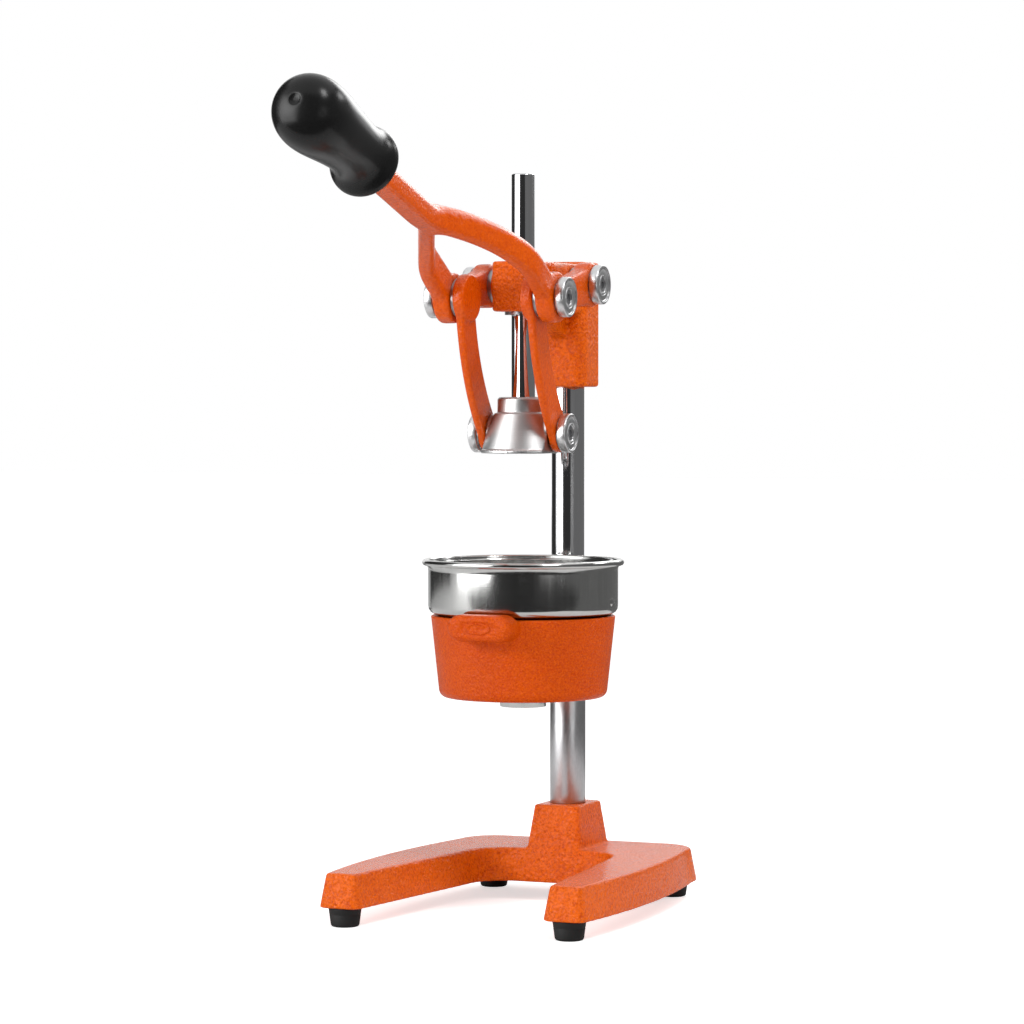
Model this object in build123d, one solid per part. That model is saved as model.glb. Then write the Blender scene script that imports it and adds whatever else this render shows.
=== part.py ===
from build123d import *
import math
import os

# Hand citrus press: a lever drives a press bell down a guided rod over a bowl on a column.
# Every part is drawn about the column's axis: X to the right, -Y to the front, Z up from the
# floor. At the end all parts move together, so the origin lies under the middle of the juicer.

# Running and fixed fits
RUN_FIT = 0.05          # radial play of a turning or sliding fit
STATIC_FIT = 0.02       # radial play of a fixed fit
SIDE_GAP = 0.5          # side play between a link and the face beside it

# Column and its sleeve
COLUMN_R = 12.5
COLUMN_TOP = 476.0
SLEEVE_WALL = 0.9

# Feet
FOOT_BOTTOM_R = 10.4
FOOT_TOP_R = 12.0
FOOT_HEIGHT = 13.8
FOOT_EDGE = 1.2
FOOT_FRONT_IN_X = 15.5     # foot centre to the tip's outer corner
FOOT_FRONT_IN_Y = 14.0     # foot centre to the tip's front face
FOOT_REAR_IN_X = 24.5      # foot centre to the shoulder
FOOT_REAR_IN_Y = 15.0      # foot centre to the rear face
FOOT_SCREW_R = 2.5
FOOT_SCREW_HEAD_R = 5.0
FOOT_SCREW_HEAD = 3.0
FOOT_SCREW_SINK = 2.5
FOOT_SCREW_GRIP = 9.0

# Base casting: a horseshoe, open to the front
BASE_THICK = 25.1
BASE_DRAFT = 11.0
BASE_FRONT_Y = -226.0
BASE_TIP_OUTER_X = 102.5
BASE_TIP_INNER_X = 71.0
BASE_SIDE_X = 110.0
BASE_SIDE_Y = -105.0
BASE_SHOULDER_X = 98.5
BASE_SHOULDER_Y = 8.0
BASE_SHOULDER_R = 30.0
BASE_REAR_Y = 45.0
BASE_REAR_R = 34.0
BASE_TIP_R = 8.0
BASE_ARCH_X = 50.0
BASE_ARCH_Y = -36.0
BASE_ARCH_R = 26.0
BASE_EDGE_R = 2.0

# Tower that holds the column's foot
TOWER_HEIGHT = 32.7
TOWER_FOOT_X = 44.0
TOWER_FOOT_Y = 60.0
TOWER_TOP_X = 36.0
TOWER_TOP_Y = 48.0
TOWER_CORNER_R = 3.0
BOLT_R = 5.0
BOLT_HEAD_R = 8.5
BOLT_HEAD = 6.5
BOLT_GRIP = 22.0
BOLT_WASHER_R = 13.0
BOLT_WASHER = 2.5
BOLT_POCKET_R = 15.0
BOLT_POCKET = 10.0

# Plunger rod and press bell
PRESS_REACH = 88.0      # column axis to plunger axis
ROD_R = 8.75
ROD_TOP = 544.5
ROD_CHAMFER = 1.0
ROD_SOCKET = 16.0
BELL_BOTTOM = 339.0
BELL_LIP = 2.4
BELL_MOUTH_R = 33.0
BELL_NECK_Z = 368.5
BELL_NECK_R = 21.0
COLLAR_R = 19.0
COLLAR_TOP = 380.3
COLLAR_CHAMFER = 1.5
BELL_CAVITY_R = 20.0
BELL_CAVITY = 16.0
SET_SCREW_R = 2.5

# Cross layers of the linkage, measured along X from the middle
LINK_IN = 25.0
LINK_THICK = 6.0
LINK_BOSS = 3.0         # how far the upper eye's boss stands in from the bar
SPACER_THICK = 3.0
LEVER_THICK = 13.0
CAP_WASHER = 1.2
CAP_THICK = 6.4
CAP_R = 14.5
CAP_WASHER_R = 12.6
CAP_RIM = 2.6
CAP_DISH = 1.2
CAP_CHAMFER = 0.8
CAP_SCREW_R = 3.0
CAP_SCREW_HEAD_R = 5.2
CAP_SCREW_HEAD = 2.6
CAP_SCREW_GRIP = 10.0
HEX_ACROSS = 5.0
HEX_DEPTH = 1.6

# Pivots (Y from the column's axis, Z from the floor)
SHAFT_Y = -64.3
SHAFT_Z = 463.0
SHAFT_R = 8.0
FRONT_PIN_Y = -131.2
FRONT_PIN_Z = 452.5
FRONT_PIN_R = 7.0
FRONT_PIN_SKIN = 2.0    # metal left inside the link over the pin's end
LOWER_PIN_Z = 353.7
LOWER_PIN_R = 6.0
LOWER_PIN_GRIP = 6.0
PIN_PLAY = 0.2          # how far a pin stands proud of the part that turns on it
OPEN_PIVOT_PLAY = 4.0   # radial play of the links' lower eyes

# Links
LINK_WIDTH = 24.5
LINK_BOW = 9.0
LINK_UPPER_EYE_R = 17.5
LINK_LOWER_EYE_R = 14.0
LINK_EDGE = 1.6
LINK_BLEND_R = 14.0

# Lever casting
LEVER_FRONT_EYE_R = 18.5
LEVER_REAR_EYE_R = 16.5
FORK_ROOT_Y = -256.0    # where the arms leave the bar
FORK_CROTCH_Y = -247.0
FORK_HIP_Y = -172.0     # where the arms turn parallel
FORK_CROTCH_R = 4.0
FORK_HIP_R = 30.0
CREST_Y = -238.0
CREST_Z = 502.8
HIP_Y = -187.5
HIP_Z = 487.0
YOKE_HEIGHT = 21.0
EYE_INSET = 6.5         # arm's edge inside the front eye's radius
BAR_WIDTH = 18.5
BAR_HEIGHT = 19.0
BAR_FLARE_R = 22.0
BAR_TILT = 18.0
BAR_RUN = 88.0
BAR_END_Y = -358.0
BAR_END_Z = 537.5
TANG_R = 9.0
TANG_LENGTH = 60.0
LEVER_EDGE = 3.4
LEVER_BEVEL = 6.5        # slant of the upper outer edges

# Grip
GRIP_COLLAR_R = 25.5
GRIP_COLLAR = 13.0
GRIP_NECK_R = 21.0
GRIP_BULB_R = 26.0
GRIP_BULB_AT = 91.0
GRIP_NECK_AT = 38.0
GRIP_CAP_R = 4.0
GRIP_CAP = 1.2

# Head casting
NOSE_FRONT = 20.0       # plunger axis to the nose's front face
NOSE_HALF_X = 17.5
NOSE_BOTTOM = 443.0
NOSE_TOP = 480.0
CLAMP_HALF_X = 19.5
CLAMP_HALF_Y = 17.0
CLAMP_BOTTOM = 387.6
CLAMP_TOP = 482.0
HEAD_EDGE = 4.0
GUSSET_HALF_X = 6.0
GUSSET_FOOT_Z = 424.0
CLAMP_CORNER_R = 9.0
SHAFT_BOSS_R = 15.5
SHAFT_BOSS_HALF_X = 30.0
SHAFT_RELIEF = 1.5
SHAFT_BUSH_WALL = 2.5
SHAFT_BUSH = 15.0
ROD_BUSH_WALL = 3.2
ROD_BUSH_FLANGE_R = 13.6
ROD_BUSH_FLANGE = 2.2
CLAMP_SCREW_R = 4.0
CLAMP_SCREW_HEAD_R = 6.5
CLAMP_SCREW_HEAD = 5.0
CLAMP_SCREW_ZS = (410.0, 456.0)

# Cup holder
CUP_TOP = 219.4
CUP_BOTTOM = 158.8
CUP_TUCK = 2.0             # bowl wall to the cup's top edge
CUP_TAPER = 6.5            # top radius to bottom radius
CUP_WALL = 4.6
CUP_FLOOR = 5.0
CUP_CORNER_R = 6.0
CUP_DRAIN_R = 20.5
HUB_R = 22.0
HUB_BOTTOM = 166.0
HUB_DROP = 8.4             # cup's top edge to the hub's top
HUB_WEB_HALF_X = 15.0
LUG_WIDTH = 50.0
LUG_HEIGHT = 19.5
LUG_REACH = 18.0
LUG_ROOT = 40.0
LUG_RISE = 4.4
LUG_EDGE = 5.0
LUG_DISH_WIDTH = 27.0
LUG_DISH_HEIGHT = 10.5
LUG_DISH = 1.2
KNOB_R = 10.0
KNOB_LENGTH = 12.0
KNOB_SCREW_R = 4.0
KNOB_GAP = 3.0
KNOB_LOBES = 6

# Steel bowl
SHEET = 1.2
RIM_ROLL_R = 2.3
RIM_BITE = 0.1             # how far the roll runs into the wall
BOWL_R = 70.2
BOWL_HEIGHT = 38.2         # step to the middle of the rim
STEP_GAP = 1.0             # cup's top edge to the step
STEP_WIDTH = 15.2
BOWL_CORNER_R = 6.0
BOWL_PLAY = 0.8
SPOUT_R = 17.0
SPOUT_BOTTOM = 151.8
FUNNEL_RISE = 4.0
SPOUT_FLARE = 6.0
DIMPLE_R = 2.6
DIMPLE_RISE = 10.0

# Strainer and reamer
STRAINER_PLAY = 1.0
STRAINER_LIP = 5.0
SLOT_LENGTH = 7.0
SLOT_WIDTH = 2.6
SLOT_RINGS = 3
SLOT_RING_STEP = 9.0
SLOT_FIRST_R = 36.0
SLOT_COUNT = 18
REAMER_R = 29.0
REAMER_HEIGHT = 28.5
REAMER_TIP_R = 4.0
REAMER_RIBS = 8
REAMER_RIB_W = 3.2
REAMER_BOSS_R = 6.0
REAMER_BOSS = 4.0

# Values worked out from the sizes above
PLUNGER_Y = -PRESS_REACH
BASE_TOP = FOOT_HEIGHT + BASE_THICK
TOWER_TOP = BASE_TOP + TOWER_HEIGHT
SLEEVE_R = COLUMN_R + RUN_FIT + SLEEVE_WALL
LINK_OUT = LINK_IN + LINK_THICK
LEVER_IN = LINK_OUT + SPACER_THICK
LEVER_OUT = LEVER_IN + LEVER_THICK
LOWER_FACE = LINK_OUT + PIN_PLAY
FRONT_FACE = LEVER_OUT + PIN_PLAY
FLAT_X = LINK_IN - SIDE_GAP
CUP_Y = PLUNGER_Y
CUP_TOP_R = BOWL_R - CUP_TUCK
CUP_BOTTOM_R = CUP_TOP_R - CUP_TAPER
HUB_TOP = CUP_TOP - HUB_DROP
BOWL_STEP_Z = CUP_TOP + STEP_GAP
BOWL_WELL_R = BOWL_R - STEP_WIDTH
RIM_Z = BOWL_STEP_Z + BOWL_HEIGHT
SIDES = (("left", -1), ("right", 1))


def along_x(radius, x0, x1, y, z):
    """A round bar along X between two X positions."""
    middle = Pos((x0 + x1) / 2, y, z)
    return middle * Rot(0, 90, 0) * Cylinder(radius, abs(x1 - x0))


def along_y(radius, y0, y1, x, z):
    """A round bar along Y between two Y positions."""
    return Pos(x, (y0 + y1) / 2, z) * Rot(90, 0, 0) * Cylinder(radius, abs(y1 - y0))


def upright(radius, z0, z1, y, x=0.0):
    """A round bar along Z between two heights."""
    return Pos(x, y, (z0 + z1) / 2) * Cylinder(radius, z1 - z0)


def block(x0, x1, y0, y1, z0, z1):
    """A box between three pairs of limits."""
    return Pos((x0 + x1) / 2, (y0 + y1) / 2, (z0 + z1) / 2) * Box(x1 - x0, y1 - y0, z1 - z0)


def turned(points, y):
    """A solid turned about an upright axis at Y, from (radius, height) points."""
    outline = make_face(Polyline(*points, close=True))
    return Pos(0, y, 0) * revolve(Plane.XZ * outline, Axis.Z)


# ---------------------------------------------------------------- base and column

def base_outline():
    """The horseshoe's plan at its foot: convex sides, round rear corners, arched front."""
    lines = []
    for s in (-1, 1):
        tip_out = (s * BASE_TIP_OUTER_X, BASE_FRONT_Y)
        shoulder = (s * BASE_SHOULDER_X, BASE_SHOULDER_Y)
        tip_in = (s * BASE_TIP_INNER_X, BASE_FRONT_Y)
        lines += [ThreePointArc(tip_out, (s * BASE_SIDE_X, BASE_SIDE_Y), shoulder),
                  Line(tip_out, tip_in), Line(tip_in, (s * BASE_ARCH_X, BASE_ARCH_Y)),
                  Line(shoulder, (s * BASE_SHOULDER_X, BASE_REAR_Y))]
    lines.append(Line((-BASE_SHOULDER_X, BASE_REAR_Y), (BASE_SHOULDER_X, BASE_REAR_Y)))
    lines.append(Line((-BASE_ARCH_X, BASE_ARCH_Y), (BASE_ARCH_X, BASE_ARCH_Y)))
    plan = make_face(Wire.combine(lines)[0])
    for row, radius in ((BASE_REAR_Y, BASE_REAR_R), (BASE_ARCH_Y, BASE_ARCH_R),
                        (BASE_FRONT_Y, BASE_TIP_R), (BASE_SHOULDER_Y, BASE_SHOULDER_R)):
        corners = [v for v in plan.vertices() if abs(v.Y - row) < 0.01]
        plan = fillet(corners, radius)
    return plan


def tower():
    """The tapered square socket around the column's foot."""
    foot = Pos(0, 0, BASE_TOP - 1) * RectangleRounded(TOWER_FOOT_X, TOWER_FOOT_Y, TOWER_CORNER_R)
    top = Pos(0, 0, TOWER_TOP) * RectangleRounded(TOWER_TOP_X, TOWER_TOP_Y, TOWER_CORNER_R)
    return loft([foot, top])


def foot_places():
    front = (BASE_TIP_OUTER_X - FOOT_FRONT_IN_X, BASE_FRONT_Y + FOOT_FRONT_IN_Y)
    rear = (BASE_SHOULDER_X - FOOT_REAR_IN_X, BASE_REAR_Y - FOOT_REAR_IN_Y)
    for end, (x, y) in (("front", front), ("rear", rear)):
        for side, s in SIDES:
            yield f"{end}_{side}", s * x, y


def base_casting():
    plan = base_outline().face()
    facing_down = plan if plan.normal_at().Z < 0 else -plan
    body = Pos(0, 0, FOOT_HEIGHT) * extrude(facing_down, -BASE_THICK, taper=BASE_DRAFT)
    top_edges = body.faces().sort_by(Axis.Z)[-1].edges()
    body = fillet(top_edges, BASE_EDGE_R)
    body += tower()
    body -= upright(COLUMN_R + STATIC_FIT, FOOT_HEIGHT + BOLT_POCKET + BOLT_WASHER, TOWER_TOP + 1, 0)
    body -= upright(BOLT_R + RUN_FIT, FOOT_HEIGHT, BASE_TOP, 0)
    body -= upright(BOLT_POCKET_R, FOOT_HEIGHT - 1, FOOT_HEIGHT + BOLT_POCKET, 0)
    for _, x, y in foot_places():
        body -= upright(FOOT_SCREW_R + STATIC_FIT, FOOT_HEIGHT - 1, FOOT_HEIGHT + FOOT_SCREW_GRIP, y, x)
    return body


def foot(x, y):
    """A tapered rubber foot with a sunk screw hole."""
    outline = [(0, 0), (FOOT_BOTTOM_R - FOOT_EDGE, 0), (FOOT_BOTTOM_R, FOOT_EDGE),
               (FOOT_TOP_R, FOOT_HEIGHT), (0, FOOT_HEIGHT)]
    body = Pos(x, 0, 0) * turned(outline, y)
    body -= upright(FOOT_SCREW_R + RUN_FIT, 0, FOOT_HEIGHT, y, x)
    return body - upright(FOOT_SCREW_HEAD_R + RUN_FIT, -1, FOOT_SCREW_SINK + FOOT_SCREW_HEAD, y, x)


def foot_screw(x, y):
    head_top = FOOT_SCREW_SINK + FOOT_SCREW_HEAD
    body = upright(FOOT_SCREW_HEAD_R, FOOT_SCREW_SINK, head_top, y, x)
    return body + upright(FOOT_SCREW_R, head_top, FOOT_HEIGHT + FOOT_SCREW_GRIP - 0.5, y, x)


def column():
    """The chrome column, tapped at its foot for the bolt under the base."""
    seat = FOOT_HEIGHT + BOLT_POCKET + BOLT_WASHER
    body = upright(COLUMN_R, seat, COLUMN_TOP, 0)
    body = chamfer(body.edges().sort_by(Axis.Z)[-1], ROD_CHAMFER)
    return body - upright(BOLT_R + STATIC_FIT, seat - 1, seat + BOLT_GRIP, 0)


def column_bolt():
    top = FOOT_HEIGHT + BOLT_POCKET
    washer_bottom = top - BOLT_WASHER
    head = extrude(Pos(0, 0, washer_bottom - BOLT_HEAD) * RegularPolygon(BOLT_HEAD_R, 6), BOLT_HEAD)
    return head + upright(BOLT_R, washer_bottom, top + BOLT_WASHER + BOLT_GRIP - 1, 0)


def column_washer():
    top = FOOT_HEIGHT + BOLT_POCKET
    body = upright(BOLT_WASHER_R, top - BOLT_WASHER, top, 0)
    return body - upright(BOLT_R + RUN_FIT, top - BOLT_WASHER, top, 0)


def column_sleeve():
    """The satin tube that the cup's hub rests on."""
    body = upright(SLEEVE_R, TOWER_TOP, HUB_BOTTOM, 0)
    return body - upright(COLUMN_R + RUN_FIT, TOWER_TOP, HUB_BOTTOM, 0)


# ---------------------------------------------------------------- head

def head_casting():
    """The nose that guides the rod, the cross boss for the lever and the column clamp."""
    nose = block(-NOSE_HALF_X, NOSE_HALF_X, PLUNGER_Y - NOSE_FRONT, 0, NOSE_BOTTOM, NOSE_TOP)
    nose = fillet(nose.edges().filter_by(Axis.Z).group_by(Axis.Y)[0], HEAD_EDGE)
    nose = fillet(nose.faces().sort_by(Axis.Y)[0].edges(), HEAD_EDGE / 2)
    clamp = block(-CLAMP_HALF_X, CLAMP_HALF_X, -CLAMP_HALF_Y, CLAMP_HALF_Y, CLAMP_BOTTOM, CLAMP_TOP)
    clamp = fillet(clamp.edges().filter_by(Axis.Z).group_by(Axis.Y)[0], CLAMP_CORNER_R)
    clamp = fillet(clamp.edges().filter_by(Axis.Z).group_by(Axis.Y)[-1], HEAD_EDGE)
    clamp = fillet(clamp.faces().sort_by(Axis.Z)[-1].edges() + clamp.faces().sort_by(Axis.Z)[0].edges(),
                   HEAD_EDGE / 2)
    body = nose + clamp
    side = make_face(Polyline((PLUNGER_Y + NOSE_FRONT, NOSE_BOTTOM + 1), (0, NOSE_BOTTOM + 1),
                              (0, GUSSET_FOOT_Z), (-CLAMP_HALF_Y, GUSSET_FOOT_Z), close=True))
    body += extrude(Plane.YZ * side, GUSSET_HALF_X, both=True)
    body += along_x(SHAFT_BOSS_R, -SHAFT_BOSS_HALF_X, SHAFT_BOSS_HALF_X, SHAFT_Y, SHAFT_Z)
    body -= upright(COLUMN_R + STATIC_FIT, CLAMP_BOTTOM - 1, COLUMN_TOP + 1, 0)
    body -= upright(ROD_R + RUN_FIT + ROD_BUSH_WALL + STATIC_FIT, NOSE_BOTTOM - 1, NOSE_TOP + 1, PLUNGER_Y)
    body -= along_x(SHAFT_R + SHAFT_RELIEF, -SHAFT_BOSS_HALF_X, SHAFT_BOSS_HALF_X, SHAFT_Y, SHAFT_Z)
    for _, s in SIDES:
        pocket = s * (SHAFT_BOSS_HALF_X - SHAFT_BUSH)
        body -= along_x(SHAFT_R + RUN_FIT + SHAFT_BUSH_WALL + STATIC_FIT, pocket, s * SHAFT_BOSS_HALF_X,
                        SHAFT_Y, SHAFT_Z)
    for z in CLAMP_SCREW_ZS:
        body -= along_y(CLAMP_SCREW_R + STATIC_FIT, 0, CLAMP_HALF_Y, 0, z)
    return body


def head_clamp_screw(z):
    """A hex screw at the back that holds the head on the column."""
    shank = along_y(CLAMP_SCREW_R, COLUMN_R, CLAMP_HALF_Y, 0, z)
    head = RegularPolygon(CLAMP_SCREW_HEAD_R, 6)
    return shank + Pos(0, CLAMP_HALF_Y, z) * Rot(-90, 0, 0) * extrude(head, CLAMP_SCREW_HEAD)


def shaft_bush(s):
    inner, outer = s * (SHAFT_BOSS_HALF_X - SHAFT_BUSH), s * SHAFT_BOSS_HALF_X
    body = along_x(SHAFT_R + RUN_FIT + SHAFT_BUSH_WALL, inner, outer, SHAFT_Y, SHAFT_Z)
    return body - along_x(SHAFT_R + RUN_FIT, inner, outer, SHAFT_Y, SHAFT_Z)


def rod_bush():
    """The flanged guide that the plunger rod slides in."""
    flange_bottom = NOSE_BOTTOM - ROD_BUSH_FLANGE
    body = upright(ROD_R + RUN_FIT + ROD_BUSH_WALL, flange_bottom, NOSE_TOP, PLUNGER_Y)
    body += upright(ROD_BUSH_FLANGE_R, flange_bottom, NOSE_BOTTOM, PLUNGER_Y)
    return body - upright(ROD_R + RUN_FIT, flange_bottom, NOSE_TOP, PLUNGER_Y)


# ---------------------------------------------------------------- plunger

def plunger_rod():
    body = upright(ROD_R, COLLAR_TOP - ROD_SOCKET, ROD_TOP, PLUNGER_Y)
    return chamfer(body.edges().filter_by(GeomType.CIRCLE), ROD_CHAMFER)


def press_bell():
    """The bell: a collar on the rod, a flared skirt with a lip, and flats for the links."""
    lip = BELL_BOTTOM + BELL_LIP
    outline = make_face([Line((0, BELL_BOTTOM), (BELL_MOUTH_R, BELL_BOTTOM)),
                         Line((BELL_MOUTH_R, BELL_BOTTOM), (BELL_MOUTH_R, lip)),
                         Line((BELL_MOUTH_R, lip), (BELL_MOUTH_R - 1, lip)),
                         Line((BELL_MOUTH_R - 1, lip), (BELL_NECK_R, BELL_NECK_Z)),
                         Line((BELL_NECK_R, BELL_NECK_Z), (COLLAR_R, BELL_NECK_Z)),
                         Line((COLLAR_R, BELL_NECK_Z), (COLLAR_R, COLLAR_TOP - COLLAR_CHAMFER)),
                         Line((COLLAR_R, COLLAR_TOP - COLLAR_CHAMFER), (COLLAR_R - COLLAR_CHAMFER, COLLAR_TOP)),
                         Line((COLLAR_R - COLLAR_CHAMFER, COLLAR_TOP), (0, COLLAR_TOP)),
                         Line((0, COLLAR_TOP), (0, BELL_BOTTOM))])
    body = Pos(0, PLUNGER_Y, 0) * revolve(Plane.XZ * outline, Axis.Z)
    ear_stock = BELL_MOUTH_R
    body += along_x(LINK_LOWER_EYE_R, -ear_stock, ear_stock, PLUNGER_Y, LOWER_PIN_Z)
    width, height = 2 * BELL_MOUTH_R, COLLAR_TOP - BELL_BOTTOM + 2
    for _, s in SIDES:
        body -= Pos(s * (FLAT_X + width / 2), PLUNGER_Y, BELL_BOTTOM + height / 2 - 1) * Box(width, width, height)
    dome_r = (BELL_CAVITY_R ** 2 + BELL_CAVITY ** 2) / (2 * BELL_CAVITY)
    body -= Pos(0, PLUNGER_Y, BELL_BOTTOM + BELL_CAVITY - dome_r) * Sphere(dome_r)
    body -= upright(ROD_R + STATIC_FIT, COLLAR_TOP - ROD_SOCKET, COLLAR_TOP + 1, PLUNGER_Y)
    body -= along_y(SET_SCREW_R + STATIC_FIT, PLUNGER_Y, PLUNGER_Y + BELL_MOUTH_R, 0,
                    (BELL_NECK_Z + COLLAR_TOP) / 2)
    for _, s in SIDES:
        body -= along_x(LOWER_PIN_R + STATIC_FIT, s * (FLAT_X - LOWER_PIN_GRIP), s * LINK_OUT, PLUNGER_Y,
                        LOWER_PIN_Z)
    return body


def bell_set_screw():
    return along_y(SET_SCREW_R, PLUNGER_Y + ROD_R + STATIC_FIT, PLUNGER_Y + COLLAR_R - 0.5, 0,
                   (BELL_NECK_Z + COLLAR_TOP) / 2)


# ---------------------------------------------------------------- caps, pins and links

def cap(s, face_x, y, z):
    """A turned cap with a dished end face and a bore for its screw."""
    outer = face_x + CAP_THICK
    body = along_x(CAP_R, s * face_x, s * outer, y, z)
    body = chamfer(body.edges(), CAP_CHAMFER)
    body -= along_x(CAP_R - CAP_RIM, s * (outer - CAP_DISH), s * (outer + 1), y, z)
    seat = outer - CAP_DISH - CAP_SCREW_HEAD
    body -= along_x(CAP_SCREW_HEAD_R + RUN_FIT, s * seat, s * outer, y, z)
    return body - along_x(CAP_SCREW_R + RUN_FIT, s * (face_x - 1), s * outer, y, z)


def cap_screw(s, face_x, pin_x, y, z):
    """A socket screw through the cap into the tapped end of its pin."""
    head_top = face_x + CAP_THICK - CAP_DISH
    body = along_x(CAP_SCREW_HEAD_R, s * (head_top - CAP_SCREW_HEAD), s * head_top, y, z)
    body += along_x(CAP_SCREW_R, s * (pin_x - CAP_SCREW_GRIP + 0.5), s * (head_top - CAP_SCREW_HEAD), y, z)
    socket = Pos(s * (head_top - HEX_DEPTH), y, z) * Rot(0, s * 90, 0) * extrude(
        RegularPolygon(HEX_ACROSS / 2, 6, major_radius=False), HEX_DEPTH + 1)
    return body - socket


def cap_washer(s, face_x, y, z):
    body = along_x(CAP_WASHER_R, s * face_x, s * (face_x + CAP_WASHER), y, z)
    return body - along_x(CAP_SCREW_R + RUN_FIT, s * face_x, s * (face_x + CAP_WASHER), y, z)


def tapped(pin, s, end_x, y, z):
    return pin - along_x(CAP_SCREW_R + STATIC_FIT, s * (end_x - CAP_SCREW_GRIP), s * (end_x + 1), y, z)


def pivot_shaft():
    """The cross shaft that the lever swings on; it turns in the head's bushes."""
    body = along_x(SHAFT_R, -LEVER_OUT, LEVER_OUT, SHAFT_Y, SHAFT_Z)
    for _, s in SIDES:
        body = tapped(body, s, LEVER_OUT, SHAFT_Y, SHAFT_Z)
    return body


def front_pin(s):
    """A pin, fixed in a link's blind upper eye, that turns in the lever's front eye."""
    inner = LINK_IN - LINK_BOSS + FRONT_PIN_SKIN
    body = along_x(FRONT_PIN_R, s * (inner + PIN_PLAY), s * FRONT_FACE, FRONT_PIN_Y, FRONT_PIN_Z)
    return tapped(body, s, FRONT_FACE, FRONT_PIN_Y, FRONT_PIN_Z)


def spacer(s, radius, inner_x, outer_x, bore, y, z):
    body = along_x(radius, s * inner_x, s * outer_x, y, z)
    return body - along_x(bore, s * inner_x, s * outer_x, y, z)


def lower_pin(s):
    """A shouldered pin, screwed into the bell's ear, for a link's lower eye."""
    body = along_x(LOWER_PIN_R, s * (FLAT_X - LOWER_PIN_GRIP + 0.2), s * LOWER_FACE, PLUNGER_Y, LOWER_PIN_Z)
    return tapped(body, s, LOWER_FACE, PLUNGER_Y, LOWER_PIN_Z)


def link(s):
    """A curved bar, bowed to the front, with an eye at each end."""
    upper = Vector(FRONT_PIN_Y, FRONT_PIN_Z)
    lower = Vector(PLUNGER_Y, LOWER_PIN_Z)
    along = (lower - upper).normalized()
    middle = (upper + lower) * 0.5 + Vector(along.Y, -along.X) * LINK_BOW
    side = SlotArc(ThreePointArc(upper, middle, lower), LINK_WIDTH)
    side += Pos(upper.X, upper.Y) * Circle(LINK_UPPER_EYE_R)
    side += Pos(lower.X, lower.Y) * Circle(LINK_LOWER_EYE_R)
    side = fillet(side.vertices(), LINK_BLEND_R)
    body = Pos(s * (LINK_IN + LINK_THICK / 2), 0, 0) * extrude(Plane.YZ * side, LINK_THICK / 2, both=True)
    for end in (0, -1):
        body = fillet(body.faces().sort_by(Axis.X)[end].edges(), LINK_EDGE)
    boss_in = LINK_IN - LINK_BOSS
    boss = along_x(LINK_UPPER_EYE_R, s * boss_in, s * (LINK_IN + LINK_THICK / 2), upper.X, upper.Y)
    body += fillet(boss.faces().sort_by(Axis.X)[0 if s > 0 else -1].edges(), LINK_EDGE)
    body -= along_x(FRONT_PIN_R + STATIC_FIT, s * (boss_in + FRONT_PIN_SKIN), s * (LINK_OUT + 1),
                    upper.X, upper.Y)
    return body - along_x(LOWER_PIN_R + OPEN_PIVOT_PLAY, s * (LINK_IN - 1), s * (LINK_OUT + 1),
                          lower.X, lower.Y)


# ---------------------------------------------------------------- lever and grip

def lever_side():
    """The lever's side profile: the bar, the crest of the fork and the drop to the eyes."""
    tilt = math.radians(BAR_TILT)
    along = Vector(math.cos(tilt), -math.sin(tilt))
    up = Vector(math.sin(tilt), math.cos(tilt))
    end = Vector(BAR_END_Y, BAR_END_Z)
    crest, hip = Vector(CREST_Y, CREST_Z), Vector(HIP_Y, HIP_Z)
    front, rear = Vector(FRONT_PIN_Y, FRONT_PIN_Z), Vector(SHAFT_Y, SHAFT_Z)
    drop = (front - hip).normalized()
    out = Vector(-drop.Y, drop.X)
    half_bar, half_yoke = up * (BAR_HEIGHT / 2), YOKE_HEIGHT / 2
    neck = end + along * BAR_RUN
    eye_half = out * (LEVER_FRONT_EYE_R - EYE_INSET)
    rear_half = Vector(0, LEVER_REAR_EYE_R - 2)
    edges = [Line(end + half_bar, neck + half_bar),
             Spline(neck + half_bar, crest + Vector(0, half_yoke), hip + out * half_yoke, front + eye_half,
                    tangents=(along, drop)),
             Line(front + eye_half, rear + rear_half), Line(rear + rear_half, rear - rear_half),
             Line(rear - rear_half, front - eye_half),
             Spline(front - eye_half, hip - out * half_yoke, crest - Vector(0, half_yoke), neck - half_bar,
                    tangents=(drop * -1, along * -1)),
             Line(neck - half_bar, end - half_bar), Line(end - half_bar, end + half_bar)]
    return make_face(edges)


def fork_corners(plan, x, y, radius):
    """Rounds the pair of plan corners at X and -X."""
    picked = [v for v in plan.vertices() if abs(abs(v.X) - x) < 0.01 and abs(v.Y - y) < 0.01]
    return fillet(picked, radius)


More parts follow.
